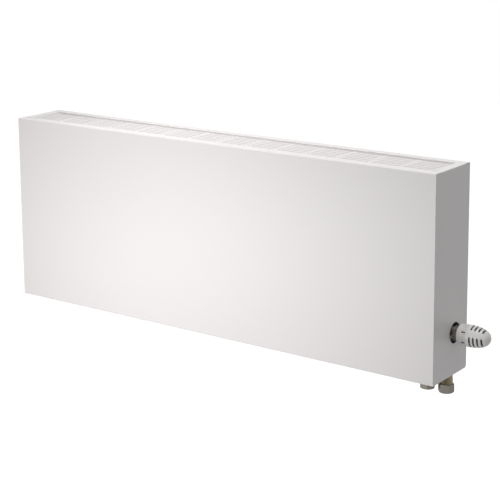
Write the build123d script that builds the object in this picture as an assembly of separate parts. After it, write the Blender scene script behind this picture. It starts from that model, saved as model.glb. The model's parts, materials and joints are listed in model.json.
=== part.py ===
from build123d import *

import os
from math import asin, cos, pi, radians, sin, sqrt

os.makedirs("parts", exist_ok=True)

# Frame: the wall is the plane y = 0, the front faces -y, x runs along the casing, z is up.
# The origin is the middle of the four wall bolts, which is also the middle of the casing's back.

# Casing, folded from painted steel sheet
casing_length = 1300
casing_height = 500
casing_depth = 163
sheet = 1.5
bend = 0.6
seam = 0.15
rim_front = 26
rim_back = 25
rim_end = 24
rim_lip = 15
ledge = 6
foot_return = 20
side_flange = 16
back_flange = 60
rail_drop = 18
panel_corner = 7
head_hole_radius = 25.5
side_fold = 40

# Stiffeners and cross stays inside the casing
stiffener_width = 44
stiffener_rise = 11
stiffener_foot = 12
stiffener_clear = 20
stiffener_inset = 380
stay_width = 20
stay_thickness = 2
stay_count = 4
stay_inset = 150

# Outlet grille: a tray with rows of long slots
grille_recess = 4
grille_gap = 0.8
grille_bend = 1.2
slot_length = 80
slot_width = 3
slot_bridge = 8
slot_row_gap = 12
grille_border = 6

# Wall brackets, bolted to the wall and carrying everything
bracket_inset = 170
bolt_spacing_z = 320
bolt_hole_radius = 4.25
bracket_width = 40
bracket_sheet = 2
hook_depth = 14
hook_rise = 11
hook_below_top = 25
web_drop = 12
toe_length = 15
hanger_width = 30
hanger_set = 8.5
hanger_reach = 18
screw_radius = 2
screw_hole_radius = 2.2
screw_head_radius = 4
screw_head = 2.2
screw_length = 9
screw_socket_radius = 1.3
screw_socket_depth = 1.4

# Connections: two union nuts under the casing, on the usual pipe spacing
wall_distance = 60
pipe_spacing = 50
supply_inset = 20
valve_height = 102
pipe_hole_radius = 9.1
stub_radius = 15
thread_clear = 0.1
thread_pitch = 1.8
thread_depth = 0.5
nut_flats = 34
nut_height = 21.3
nut_drop = 26
nut_floor = 5
nut_chamfer = 2.5
supply_nut_turn = 13.7
return_nut_turn = 54
cone_height = 9.7
cone_wall = 0.9
water_radius = 6
riser_radius = 7.5
spigot_radius = 10.5
spigot_depth = 8

# Heat exchanger: copper tubes, aluminium fins, brass collectors
tube_radius = 7.5
tube_wall = 0.7
tube_clear = 0.08
tube_columns = 3
column_spacing = 40
row_spacing = 44
fin_depth = 120
fin_edge = 22
fin_thickness = 0.4
fin_pitch = 8
fin_corner = 3
end_plate_sheet = 1.2
end_plate_flange = 8
end_plate_gap = 6
socket_length = 8
socket_wall = 2
socket_gap = 18
collector_width = 24
collector_half = 13
collector_wall = 3
collector_margin = 14
collector_corner = 3
left_space = 30
pad_thickness = 2
pad_margin = 10
strap_sheet = 2
strap_width = 24
strap_reach = 60
strap_rise = 26
strap_clear = 0.2

# Air vent and drain plug on the turning collector
vent_offset = 30
vent_radius = 4.9
vent_body_flats = 14
vent_body_height = 9
vent_thread = 7
vent_bore = 3
vent_clear = 0.06
vent_key_flats = 5
vent_key_height = 6
vent_key_set = 1
vent_spout_radius = 2.4
vent_spout_length = 7
vent_spout_bore = 1.2
drain_head_radius = 11
drain_head_height = 5
drain_thread_radius = 6.5
drain_thread = 7
drain_key_flats = 8
drain_key_depth = 3.5
drain_edge = 1
drain_seal_radius = 10
drain_seal = 1.5

# Thermostatic valve, in line with the hole in the right side panel
neck_radius = 15
neck_length = 22
neck_reach = 8
valve_barrel_radius = 16
valve_barrel_length = 24
valve_branch_radius = 10
valve_branch_drop = 28
valve_tail_radius = 11
valve_flange_radius = 13
valve_flange = 2
valve_bore = 8
valve_chamber_radius = 11
seat_wall = 2.5
seat_radius = 6
washer_radius = 7.5
washer_thickness = 3
washer_clear = 0.1
disc_radius = 6.8
disc_thickness = 2
insert_clear = 0.05
insert_length = 12
pin_radius = 1.6
pin_clear = 0.06
pin_collar_radius = 3.4
pin_collar = 1.4
pin_tip = 13
spring_pocket_radius = 4.6
spring_pocket_depth = 8
spring_radius = 3.6
spring_wire = 0.35
spring_turns = 5
gasket_thickness = 1
boss_length = 10
boss_radius = 13.2
tail_nut_flats = 30
tail_nut_floor = 3
tail_nut_chamfer = 1.1
valve_edge = 1

# Lockshield valve on the return
shield_radius = 14
shield_height = 30
shield_top_gap = 4
shield_branch_radius = 9.5
shield_branch_reach = 32
shield_branch_set = 14
shield_spindle_radius = 6
shield_spindle_clear = 0.06
shield_spindle_length = 20
shield_spindle_set = 1
shield_edge = 1
shield_key_flats = 5
shield_key_depth = 8
shield_cap_radius = 12
shield_cap_wall = 2
shield_cap_skirt = 12

# Thermostatic head; its lengths are counted outwards from the side panel's face
head_nut_radius = 19
head_nut_start = 3
head_nut_end = 13.5
head_nut_lip = 12
head_nut_edge = 1
head_nut_flutes = 36
head_nut_flute = 0.8
head_nut_flute_margin = 2
base_flange_radius = 14.6
base_flange = 2
base_neck_radius = 11.7
base_start = 14.5
base_end = 39.5
base_radius_small = 23.2
base_radius = 25.8
base_taper_end = 27
base_inner_radius = 21.4
base_floor = 3
base_bore = 6.2
base_edge = 1
base_groove = 0.5
base_groove_width = 1
base_ribs = 36
base_rib_groove = 1.3
base_rib_groove_width = 2
base_rib_start = 28
wheel_gap = 0.4
wheel_radius = 26.2
wheel_nose_start = 36
wheel_nose_blunt_share = 2.5
wheel_nose_points = 9
wheel_tip = 92
wheel_wall = 2.2
wheel_web = 2.6
skirt_clear = 0.08
skirt_wall = 2.2
skirt_start = 25
kerf_first = 50
kerf_pitch = 9.5
kerf_count = 4
kerf_width = 4.4
kerf_groups = 3
kerf_half_angle = 43
kerf_first_angle = 91.5
capsule_radius = 17
capsule_clear = 0.1
capsule_start = 33
capsule_end = 79
capsule_chamfer = 5
capsule_wall = 1.4
capsule_rod_radius = 3
rod_clear = 0.1
limit_pin_length = 9
limit_pin_width = 2.6
limit_pin_depth = 2.4
limit_pin_angles = (31, -26)
limit_pin_start = 28.5

# One overrun serves every cut
overrun = 1

# Places worked out from the sizes above
top = casing_height / 2
bottom = -casing_height / 2
front = -casing_depth
end = casing_length / 2
ledge_z = top - rim_lip
opening_end = end - rim_end
opening_front = front + rim_front
opening_back = -rim_back
axis_z = bottom + valve_height
lower_z = axis_z - row_spacing
pipe_y = -wall_distance
screw_y = front + foot_return / 2
supply_x = end - supply_inset
return_x = supply_x - pipe_spacing
core_y = -casing_depth / 2
vent_y = core_y - vent_offset
fin_top = axis_z + fin_edge
fin_bottom = lower_z - fin_edge
arm_z = fin_bottom - pad_thickness
hook_z = top - hook_below_top
bracket_x = end - bracket_inset
right_face = return_x - collector_width / 2
left_face = -(end - left_space) + collector_width
right_plate_x = right_face - socket_length - socket_gap
left_plate_x = left_face + socket_length + socket_gap
nut_top = bottom - nut_drop
nut_bottom = nut_top - nut_height
stub_bottom = nut_bottom + nut_floor + cone_height
column_offsets = [column_spacing * (i - (tube_columns - 1) / 2) for i in range(tube_columns)]


# Small helpers for plain shapes

def block(x, y, z):
    """A box between the low and high values given for x, y and z."""
    spans = (x, y, z)
    middle = [(low + high) / 2 for low, high in spans]
    return Pos(*middle) * Box(*[abs(high - low) for low, high in spans])


def rod(axis, radius, span, a, b):
    """A round bar along axis X, Y or Z over span, centred at (a, b) in the two other directions."""
    middle = (span[0] + span[1]) / 2
    places = {"X": (middle, a, b), "Y": (a, middle, b), "Z": (a, b, middle)}
    turns = {"X": Rot(Y=90), "Y": Rot(X=90), "Z": Rot()}
    return Pos(*places[axis]) * turns[axis] * Cylinder(radius, abs(span[1] - span[0]))


def hexagon_bar(flats, span, x, y, turn=0):
    """An upright six-sided bar, turned so that one corner points turn degrees from x."""
    outline = RegularPolygon(flats / 2, 6, major_radius=False, rotation=turn)
    return Pos(x, y, span[0]) * extrude(outline, span[1] - span[0])


def square_bar(flats, span, x, y):
    """An upright square bar."""
    return Pos(x, y, span[0]) * extrude(Rectangle(flats, flats), span[1] - span[0])


def folded(corners, thickness, width, plane=Plane.YZ):
    """Sheet folded along a path of square corners; the metal lies to the left of the path."""
    radii = []
    for before, here, after in zip(corners, corners[1:], corners[2:]):
        turn = (here[0] - before[0]) * (after[1] - here[1]) - (here[1] - before[1]) * (after[0] - here[0])
        radii.append(bend + thickness if turn > 0 else bend)
    path = FilletPolyline(*corners, radius=radii)
    face = make_face(offset(path, thickness, side=Side.LEFT))
    return extrude(plane * face, width / 2, both=True)


def turned_x(points):
    """A solid turned about the valve's axis; points are (distance outside the side panel, radius)."""
    face = Plane.XZ * make_face(Polyline(*points, close=True))
    return Pos(end, pipe_y, axis_z) * revolve(face, Axis.X)


def threaded(radius, low, high, x, y):
    """An upright round stub with the ridges of its thread."""
    count = int((high - low) / thread_pitch)
    ridge = (high - low) / count
    points = [(0, high), (0, low)]
    for i in range(count):
        z = low + i * ridge
        points += [(radius - thread_depth, z), (radius, z + ridge / 2)]
    points.append((radius - thread_depth, high))
    return Pos(x, y) * revolve(Plane.XZ * make_face(Polyline(*points, close=True)), Axis.Z)


def on_both_brackets(shape):
    """The same piece at the left and at the right bracket."""
    return [Pos(-bracket_x, 0, 0) * shape, Pos(bracket_x, 0, 0) * shape]


# Casing

def make_front_panel():
    """Front face with its top rim, hanging lip and grille ledge, and the return along the bottom."""
    panel = folded(
        [
            (front + foot_return, bottom + sheet),
            (front + sheet, bottom + sheet),
            (front + sheet, top - sheet),
            (opening_front - sheet, top - sheet),
            (opening_front - sheet, ledge_z),
            (opening_front + ledge, ledge_z),
        ],
        sheet,
        casing_length,
    )
    for side in (-1, 1):
        behind = sorted((side * (end - sheet - seam), side * (end + overrun)))
        panel -= block(behind, (front + sheet, 0), (bottom - overrun, top - sheet))
        beyond = sorted((side * (opening_end - seam), side * (end + overrun)))
        panel -= block(beyond, (opening_front, 0), (ledge_z - overrun, top + overrun))
    for x in (-bracket_x, bracket_x):
        panel -= rod("Z", screw_hole_radius, (bottom - overrun, bottom + foot_return), x, screw_y)
    return panel


def make_right_side_panel(with_hole):
    """Side sheet with its rim strip, lip and ledge; flanges meet the front panel and the wall."""
    rim_span = -opening_front - rim_back - 2 * seam
    rim_y = (opening_front - rim_back) / 2
    rim = folded(
        [
            (opening_end - ledge, ledge_z),
            (opening_end + sheet, ledge_z),
            (opening_end + sheet, top - sheet),
            (end - sheet, top - sheet),
            (end - sheet, top - side_fold),
        ],
        sheet,
        rim_span,
        Plane.XZ,
    )
    panel = Pos(0, rim_y) * rim
    inside = (opening_end - ledge - overrun, opening_end)
    front_corner = (opening_front - overrun, opening_front + ledge + seam)
    back_corner = (opening_back - ledge - seam, overrun)
    for y in (front_corner, back_corner):
        panel -= block(inside, y, (ledge_z - overrun, ledge_z + 2 * sheet))
    panel += block((end - sheet, end), (front + sheet + seam, 0), (bottom, top - side_fold))
    beside_rim = block((end - sheet, end), (front + sheet + seam, 0), (top - side_fold, top - sheet - seam))
    rim_place = (rim_y - rim_span / 2, rim_y + rim_span / 2)
    beside_rim -= block((end - sheet - overrun, end + overrun), rim_place, (top - side_fold, top))
    panel += beside_rim
    flange = (front + sheet + seam, front + 2 * sheet + seam)
    panel += block((end - side_flange, end - sheet), flange, (bottom + 2 * sheet, top - 2 * sheet))
    wall_flange = (end - back_flange, end - sheet)
    panel += block(wall_flange, (-sheet, 0), (bottom + 2 * panel_corner, top - 2 * rail_drop))
    low_corner = panel.edges().filter_by(Axis.X).group_by(Axis.Z)[0].sort_by(Axis.Y)[-1]
    panel = fillet(low_corner, panel_corner)
    if with_hole:
        panel -= rod("X", head_hole_radius, (end - sheet - overrun, end + overrun), pipe_y, axis_z)
    return panel


def make_rear_rail():
    """Strip along the wall: back flange, rim, lip and ledge."""
    rail = folded(
        [
            (opening_back - ledge, ledge_z),
            (opening_back + sheet, ledge_z),
            (opening_back + sheet, top - sheet),
            (-sheet, top - sheet),
            (-sheet, top - rail_drop),
        ],
        sheet,
        casing_length,
    )
    for side in (-1, 1):
        behind = sorted((side * (end - sheet - seam), side * (end + overrun)))
        rail -= block(behind, (front, overrun), (bottom, top - sheet))
        beyond = sorted((side * (opening_end - seam), side * (end + overrun)))
        rail -= block(beyond, (front, opening_back), (ledge_z - overrun, top + overrun))
    return rail


def make_stiffeners():
    """Two upright hat profiles glued behind the front panel."""
    inner = front + sheet
    height = casing_height - 2 * stiffener_clear
    hat = folded(
        [
            (-stiffener_width / 2 - stiffener_foot, inner),
            (-stiffener_width / 2, inner),
            (-stiffener_width / 2, inner + stiffener_rise),
            (stiffener_width / 2, inner + stiffener_rise),
            (stiffener_width / 2, inner),
            (stiffener_width / 2 + stiffener_foot, inner),
        ],
        sheet,
        height,
        Plane.XY,
    )
    x = end - stiffener_inset
    return [Pos(-x) * hat, Pos(x) * hat]


def make_cross_stays():
    """Flat bars under the ledges that tie the front panel to the rear rail."""
    reach = 2 * (end - stay_inset)
    span = (opening_front, opening_back)
    bars = []
    for i in range(stay_count):
        x = reach * (i / (stay_count - 1) - 1 / 2)
        wide = (x - stay_width / 2, x + stay_width / 2)
        bars.append(block(wide, span, (ledge_z - stay_thickness, ledge_z)))
    return bars


def make_outlet_grille():
    """Lift-out tray that stands on the ledges, its top a little below the rim."""
    long = 2 * (opening_end - grille_gap)
    wide = opening_back - opening_front - 2 * grille_gap
    grille_top = top - grille_recess
    standing = ledge_z + sheet
    middle_y = (opening_front + opening_back) / 2
    tray = Pos(0, middle_y, (grille_top + standing) / 2) * Box(long, wide, grille_top - standing)
    tray = fillet(tray.edges().filter_by(Axis.Z), grille_bend)
    tray = fillet(tray.faces().sort_by(Axis.Z)[-1].edges(), grille_bend)
    inner = Pos(0, middle_y, standing) * Box(
        long - 2 * sheet, wide - 2 * sheet, 2 * (grille_top - standing - sheet)
    )
    tray -= inner
    groups = int((long - 2 * grille_border + slot_bridge) / (slot_length + slot_bridge))
    rows = int((wide - 2 * grille_border + slot_row_gap) / (slot_width + slot_row_gap))
    along = (long - 2 * grille_border + slot_bridge) / groups
    across = (wide - 2 * grille_border - slot_width) / (rows - 1)
    slot = SlotOverall(along - slot_bridge, slot_width)
    slots = Sketch() + [place * slot for place in GridLocations(along, across, groups, rows)]
    cutter = extrude(Pos(0, middle_y, grille_top - 2 * sheet) * slots, 2 * sheet + overrun)
    return tray - cutter


def make_casing_screws():
    """Pan-head screws from below, through the front panel's return into the bracket toes."""
    screw = rod("Z", screw_radius, (bottom, bottom + screw_length), 0, screw_y)
    head = rod("Z", screw_head_radius, (bottom - screw_head, bottom), 0, screw_y)
    head = fillet(head.edges().group_by(Axis.Z)[0], screw_head / 2)
    socket_end = bottom - screw_head + screw_socket_depth
    socket = rod("Z", screw_socket_radius, (bottom - screw_head - overrun, socket_end), 0, screw_y)
    return on_both_brackets(screw + head - socket)


# Wall brackets

def make_wall_bracket():
    """One folded strip: hook, wall plate, arm and toe, with a web under each edge of the arm."""
    drop_y = front + foot_return - bracket_sheet
    toe_z = bottom + sheet + bracket_sheet
    strip = folded(
        [
            (-hook_depth, hook_z + hook_rise),
            (-hook_depth, hook_z - bracket_sheet),
            (-bracket_sheet, hook_z - bracket_sheet),
            (-bracket_sheet, arm_z),
            (drop_y, arm_z),
            (drop_y, toe_z),
            (drop_y - toe_length, toe_z),
        ],
        bracket_sheet,
        bracket_width,
    )
    for side in (-1, 1):
        edge = sorted((side * bracket_width / 2, side * (bracket_width / 2 - bracket_sheet)))
        strip += block(edge, (drop_y + bracket_sheet, 0), (arm_z - web_drop, arm_z - bracket_sheet))
    for z in (-bolt_spacing_z / 2, bolt_spacing_z / 2):
        strip -= rod("Y", bolt_hole_radius, (-2 * bracket_sheet, overrun), 0, z)
    strip -= rod("Z", screw_radius + thread_clear, (bottom, toe_z + overrun), 0, screw_y)
    strap_z = fin_top + strap_rise / 2
    strip -= rod("Y", screw_radius + thread_clear, (-2 * bracket_sheet, overrun), 0, strap_z)
    return strip


def make_casing_hangers():
    """Angle pieces welded under the rear rail; their legs stand in the bracket hooks."""
    leg = block(
        (-hanger_width / 2, hanger_width / 2),
        (-hanger_set, -hanger_set + bracket_sheet),
        (hook_z, top - sheet),
    )
    foot = block(
        (-hanger_width / 2, hanger_width / 2),
        (-hanger_reach, -hanger_set + bracket_sheet),
        (top - sheet - bracket_sheet, top - sheet),
    )
    return on_both_brackets(leg + foot)


def make_exchanger_pads():
    """Rubber pads between the bracket arms and the fins."""
    pad = block(
        (-bracket_width / 2, bracket_width / 2),
        (core_y - fin_depth / 2 + pad_margin, core_y + fin_depth / 2 - pad_margin),
        (arm_z, fin_bottom),
    )
    return on_both_brackets(pad)


def make_holding_straps():
    """Angles screwed to the wall plates that keep the exchanger down."""
    strap = folded(
        [
            (-bracket_sheet - strap_reach, fin_top + strap_clear + strap_sheet),
            (-bracket_sheet - strap_sheet, fin_top + strap_clear + strap_sheet),
            (-bracket_sheet - strap_sheet, fin_top + strap_rise),
        ][::-1],
        strap_sheet,
        strap_width,
    )
    strap -= rod("Y", screw_hole_radius, (-2 * (bracket_sheet + strap_sheet), 0), 0, fin_top + strap_rise / 2)
    return on_both_brackets(strap)


def make_strap_screws():
    """Screws that hold the straps to the wall plates."""
    face = -bracket_sheet - strap_sheet
    z = fin_top + strap_rise / 2
    shaft = rod("Y", screw_radius, (face, 0), 0, z)
    head = rod("Y", screw_head_radius, (face - screw_head, face), 0, z)
    head = fillet(head.edges().group_by(Axis.Y)[0], screw_head / 2)
    socket_end = face - screw_head + screw_socket_depth
    socket = rod("Y", screw_socket_radius, (face - screw_head - overrun, socket_end), 0, z)
    return on_both_brackets(shaft + head - socket)


# Heat exchanger

def tube_places():
    """The (y, z) place of every tube, the supply row above the return row."""
    return [(core_y + offset, z) for z in (axis_z, lower_z) for offset in column_offsets]


def make_copper_tubes():
    """Six tubes between the collectors."""
    tubes = []
    span = (left_face - collector_wall, right_face + collector_wall)
    for y, z in tube_places():
        outer = rod("X", tube_radius, span, y, z)
        bore = rod("X", tube_radius - tube_wall, (span[0] - overrun, span[1] + overrun), y, z)
        tubes.append(outer - bore)
    return tubes


def core_outline(extra):
    """Upright plate outline of the exchanger in the YZ plane, holed for the tubes."""
    width = fin_depth + 2 * extra
    height = fin_top - fin_bottom + 2 * extra
    outline = RectangleRounded(width, height, fin_corner)
    outline = Pos(core_y, (fin_top + fin_bottom) / 2) * outline
    for y, z in tube_places():
        outline -= Pos(y, z) * Circle(tube_radius + tube_clear)
    return outline


def make_fins():
    """Thin aluminium fins, evenly spaced between the end plates."""
    outline = Plane.YZ * core_outline(0)
    fin = extrude(outline, fin_thickness / 2, both=True)
    length = right_plate_x - left_plate_x - 2 * end_plate_gap
    count = int(length / fin_pitch) + 1
    first = (left_plate_x + right_plate_x) / 2 - fin_pitch * (count - 1) / 2
    return [Pos(first + i * fin_pitch) * fin for i in range(count)]


def make_end_plate(x, side):
    """Steel plate at an end of the fins, its edges folded outwards."""
    plate = Plane.YZ * core_outline(0)
    sheet_part = extrude(plate, end_plate_sheet / 2, both=True)
    y_low = core_y - fin_depth / 2
    y_high = core_y + fin_depth / 2
    out = sorted((0, side * end_plate_flange))
    for y in ((y_low, y_low + end_plate_sheet), (y_high - end_plate_sheet, y_high)):
        sheet_part += block(out, y, (fin_bottom + fin_corner, fin_top - fin_corner))
    return Pos(x) * sheet_part


def make_collector(x_span, z_low, z_high, tube_rows, side):
    """Hollow brass box with a socket for each tube; side tells which way the sockets point."""
    y_low = core_y + column_offsets[0] - collector_margin
    y_high = core_y + column_offsets[-1] + collector_margin
    shell = block(x_span, (y_low, y_high), (z_low, z_high))
    shell = fillet(shell.edges(), collector_corner)
    inside = (x_span[0] + collector_wall, x_span[1] - collector_wall)
    room = block(
        inside,
        (y_low + collector_wall, y_high - collector_wall),
        (z_low + collector_wall, z_high - collector_wall),
    )
    face = x_span[1] if side > 0 else x_span[0]
    for z in tube_rows:
        for offset in column_offsets:
            y = core_y + offset
            shell += rod("X", tube_radius + socket_wall, sorted((face, face + side * socket_length)), y, z)
    shell -= room
    for z in tube_rows:
        for offset in column_offsets:
            y = core_y + offset
            deep = sorted((face - side * (collector_wall + overrun), face + side * (socket_length + overrun)))
            shell -= rod("X", tube_radius + tube_clear, deep, y, z)
    return shell


def make_supply_collector():
    """Upper right collector, with the threaded boss that the valve screws on to."""
    span = (right_face, right_face + collector_width)
    shell = make_collector(span, axis_z - collector_half, axis_z + collector_half, (axis_z,), -1)
    boss = (span[1], span[1] + boss_length)
    shell += rod("X", boss_radius, boss, pipe_y, axis_z)
    bore = (span[1] - collector_wall - overrun, boss[1] + overrun)
    return shell - rod("X", valve_bore, bore, pipe_y, axis_z)


def make_return_collector():
    """Lower right collector, with a spigot down into the lockshield valve."""
    span = (right_face, right_face + collector_width)
    low = lower_z - collector_half
    shell = make_collector(span, low, lower_z + collector_half, (lower_z,), -1)
    spigot = (low - shield_top_gap - spigot_depth / 2, low)
    shell += rod("Z", spigot_radius, spigot, return_x, pipe_y)
    bore = (spigot[0] - overrun, low + collector_wall + overrun)
    return shell - rod("Z", water_radius, bore, return_x, pipe_y)


def make_turning_collector():
    """Left collector: the water comes in from the upper tubes and leaves by the lower ones."""
    span = (left_face - collector_width, left_face)
    x = left_face - collector_width / 2
    low = lower_z - collector_half
    high = axis_z + collector_half
    shell = make_collector(span, low, high, (axis_z, lower_z), 1)
    vent = (high - collector_wall - overrun, high + overrun)
    shell -= rod("Z", vent_radius + thread_clear, vent, x, vent_y)
    drain = (low - overrun, low + collector_wall + overrun)
    return shell - rod("Z", drain_thread_radius + thread_clear, drain, x, core_y)


def make_air_vent_body():
    """Brass vent plug with a small spout towards the front."""
    x = left_face - collector_width / 2
    high = axis_z + collector_half
    body = hexagon_bar(vent_body_flats, (high, high + vent_body_height), x, vent_y)
    body += rod("Z", vent_radius, (high - vent_thread, high), x, vent_y)
    spout_z = high + vent_body_height / 2
    face = vent_y - vent_body_flats / 2
    body += rod("Y", vent_spout_radius, (face - vent_spout_length, vent_y), x, spout_z)
    body -= rod("Z", vent_bore + vent_clear, (high, high + vent_body_height + overrun), x, vent_y)
    body -= rod("Z", vent_spout_bore, (high - vent_thread - overrun, high + overrun), x, vent_y)
    return body - rod("Y", vent_spout_bore, (face - vent_spout_length - overrun, vent_y), x, spout_z)


def make_air_vent_screw():
    """Vent spindle with a square end for the radiator key."""
    x = left_face - collector_width / 2
    high = axis_z + collector_half
    foot = high + vent_body_height / 2 + vent_spout_radius
    neck = high + vent_body_height + vent_key_set
    screw = rod("Z", vent_bore, (foot, neck), x, vent_y)
    return screw + square_bar(vent_key_flats, (neck, neck + vent_key_height), x, vent_y)


def make_drain_plug():
    """Brass plug under the turning collector, with a hexagon socket."""
    x = left_face - collector_width / 2
    low = lower_z - collector_half
    seat = low - drain_seal
    plug = rod("Z", drain_head_radius, (seat - drain_head_height, seat), x, core_y)
    plug = fillet(plug.edges().group_by(Axis.Z)[0], drain_edge)
    plug += rod("Z", drain_thread_radius, (seat, low + drain_thread), x, core_y)
    socket = (seat - drain_head_height - overrun, seat - drain_head_height + drain_key_depth)
    return plug - hexagon_bar(drain_key_flats, socket, x, core_y)


def make_drain_seal():
    """Fibre ring under the drain plug's head."""
    x = left_face - collector_width / 2
    low = lower_z - collector_half
    ring = rod("Z", drain_seal_radius, (low - drain_seal, low), x, core_y)
    return ring - rod("Z", drain_thread_radius + thread_clear, (low - drain_seal, low), x, core_y)


# Connections under the casing

def make_union_nut(x, turn):
    """Hexagon union nut with rounded corners and a hole for the pipe."""
    nut = hexagon_bar(nut_flats, (nut_bottom, nut_top), x, pipe_y, turn)
    corner = nut_flats / sqrt(3)
    low = corner - nut_chamfer
    dome = Polyline(
        (0, nut_bottom),
        (low, nut_bottom),
        (corner, nut_bottom + nut_chamfer),
        (corner, nut_top - nut_chamfer / 2),
        (low + nut_chamfer / 2, nut_top),
        (0, nut_top),
        close=True,
    )
    nut &= Pos(x, pipe_y) * revolve(Plane.XZ * make_face(dome), Axis.Z)
    nut -= rod("Z", stub_radius + thread_clear, (nut_bottom + nut_floor, nut_top + overrun), x, pipe_y)
    return nut - rod("Z", pipe_hole_radius, (nut_bottom - overrun, nut_top), x, pipe_y)


def make_pipe_cone(x):
    """Brass clamping cone inside the union nut."""
    low = nut_bottom + nut_floor
    wide = stub_radius - thread_depth
    shape = Polyline(
        (pipe_hole_radius, low),
        (wide, low),
        (wide, low + cone_height / 2),
        (pipe_hole_radius + cone_wall, stub_bottom),
        (pipe_hole_radius, stub_bottom),
        close=True,
    )
    return Pos(x, pipe_y) * revolve(Plane.XZ * make_face(shape), Axis.Z)


def make_supply_riser():
    """Brass riser from the thermostatic valve down to the threaded stub."""
    port = axis_z - valve_branch_drop
    shoulder = bottom + rim_lip / 2
    riser = rod("Z", riser_radius, (shoulder, port + spigot_depth), supply_x, pipe_y)
    riser += threaded(stub_radius, stub_bottom, shoulder, supply_x, pipe_y)
    bore = (stub_bottom - overrun, port + spigot_depth + overrun)
    return riser - rod("Z", water_radius, bore, supply_x, pipe_y)


def shield_span():
    """Lowest and highest z of the lockshield valve's body."""
    high = lower_z - collector_half - shield_top_gap
    return (high - shield_height, high)


def make_return_stub():
    """Brass stub screwed into the bottom of the lockshield valve."""
    low = shield_span()[0]
    stub = rod("Z", spigot_radius, (low, low + spigot_depth), return_x, pipe_y)
    stub += threaded(stub_radius, stub_bottom, low, return_x, pipe_y)
    bore = (stub_bottom - overrun, low + spigot_depth + overrun)
    return stub - rod("Z", water_radius, bore, return_x, pipe_y)


def make_lockshield_body():
    """Return valve body with a side branch for its spindle, facing the front."""
    low, high = shield_span()
    branch_z = low + shield_branch_set
    body = rod("Z", shield_radius, (low, high), return_x, pipe_y)
    body = chamfer(body.edges().filter_by(GeomType.CIRCLE), shield_edge)
    tip = pipe_y - shield_branch_reach
    body += rod("Y", shield_branch_radius, (tip, pipe_y), return_x, branch_z)
    for span in ((high - spigot_depth / 2, high + overrun), (low - overrun, low + spigot_depth)):
        body -= rod("Z", spigot_radius + thread_clear, span, return_x, pipe_y)
    body -= rod("Z", water_radius, (low, high), return_x, pipe_y)
    bore = shield_spindle_radius + shield_spindle_clear
    return body - rod("Y", bore, (tip - overrun, pipe_y), return_x, branch_z)


def make_lockshield_spindle():
    """Regulating spindle, turned with a hexagon key."""
    low = shield_span()[0]
    branch_z = low + shield_branch_set
    tip = pipe_y - shield_branch_reach + shield_spindle_set
    spindle = rod("Y", shield_spindle_radius, (tip, tip + shield_spindle_length), return_x, branch_z)
    key = Plane((return_x, tip - overrun, branch_z), x_dir=(1, 0, 0), z_dir=(0, 1, 0))
    outline = key * RegularPolygon(shield_key_flats / 2, 6, major_radius=False)
    return spindle - extrude(outline, shield_key_depth + overrun)


def make_lockshield_cap():
    """Cap screwed over the spindle branch."""
    low = shield_span()[0]
    branch_z = low + shield_branch_set
    tip = pipe_y - shield_branch_reach
    cap = rod("Y", shield_cap_radius, (tip - shield_cap_wall, tip + shield_cap_skirt), return_x, branch_z)
    cap = fillet(cap.edges().group_by(Axis.Y)[0], shield_cap_wall / 2)
    bore = shield_branch_radius + thread_clear
    return cap - rod("Y", bore, (tip, tip + shield_cap_skirt + overrun), return_x, branch_z)


# Thermostatic valve

def valve_points():
    """X places along the valve, from its tail to the end of the neck."""
    boss_end = right_face + collector_width + boss_length
    tail = boss_end + gasket_thickness
    neck_end = end + neck_reach
    neck_foot = neck_end - neck_length
    seat = neck_foot - valve_barrel_length + seat_wall + valve_bore
    return boss_end, tail, seat, neck_foot, neck_end


def make_valve_body():
    """Nickel-plated angle body: tail to the collector, branch down to the riser, neck for the head."""
    boss_end, tail, seat, neck_foot, neck_end = valve_points()
    barrel = (neck_foot - valve_barrel_length, neck_foot)
    body = rod("X", valve_barrel_radius, barrel, pipe_y, axis_z)
    body = chamfer(body.edges().filter_by(GeomType.CIRCLE), valve_edge)
    body += rod("X", valve_flange_radius, (tail, tail + valve_flange), pipe_y, axis_z)
    body += rod("X", valve_tail_radius, (tail, barrel[1]), pipe_y, axis_z)
    body += rod("X", neck_radius, (neck_foot, neck_end), pipe_y, axis_z)
    port = axis_z - valve_branch_drop
    body += rod("Z", valve_branch_radius, (port, axis_z), supply_x, pipe_y)
    body -= rod("X", valve_bore, (tail - overrun, seat - seat_wall), pipe_y, axis_z)
    body -= rod("X", seat_radius, (tail, seat + overrun), pipe_y, axis_z)
    body -= rod("X", valve_chamber_radius, (seat, neck_end + overrun), pipe_y, axis_z)
    body -= rod("Z", riser_radius + thread_clear, (port - overrun, port + spigot_depth), supply_x, pipe_y)
    return body - rod("Z", water_radius, (port, axis_z), supply_x, pipe_y)


def make_valve_gasket():
    """Flat ring between the collector's boss and the valve's tail."""
    boss_end, tail = valve_points()[:2]
    ring = rod("X", valve_flange_radius, (boss_end, tail), pipe_y, axis_z)
    return ring - rod("X", valve_bore, (boss_end, tail), pipe_y, axis_z)


def make_tail_nut():
    """Union nut that pulls the valve's tail against the collector's boss."""
    boss_end, tail = valve_points()[:2]
    lip = tail + valve_flange
    start = boss_end - boss_length + tail_nut_floor
    nut_end = lip + tail_nut_floor
    place = Plane((start, pipe_y, axis_z), x_dir=(0, 1, 0), z_dir=(1, 0, 0))
    nut = extrude(place * RegularPolygon(tail_nut_flats / 2, 6, major_radius=False), nut_end - start)
    corner = tail_nut_flats / sqrt(3)
    round_bar = rod("X", corner, (start, nut_end), pipe_y, axis_z)
    nut &= chamfer(round_bar.edges().filter_by(GeomType.CIRCLE), tail_nut_chamfer)
    nut -= rod("X", boss_radius + thread_clear, (start - overrun, lip), pipe_y, axis_z)
    return nut - rod("X", valve_tail_radius + thread_clear, (start, nut_end + overrun), pipe_y, axis_z)


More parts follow.
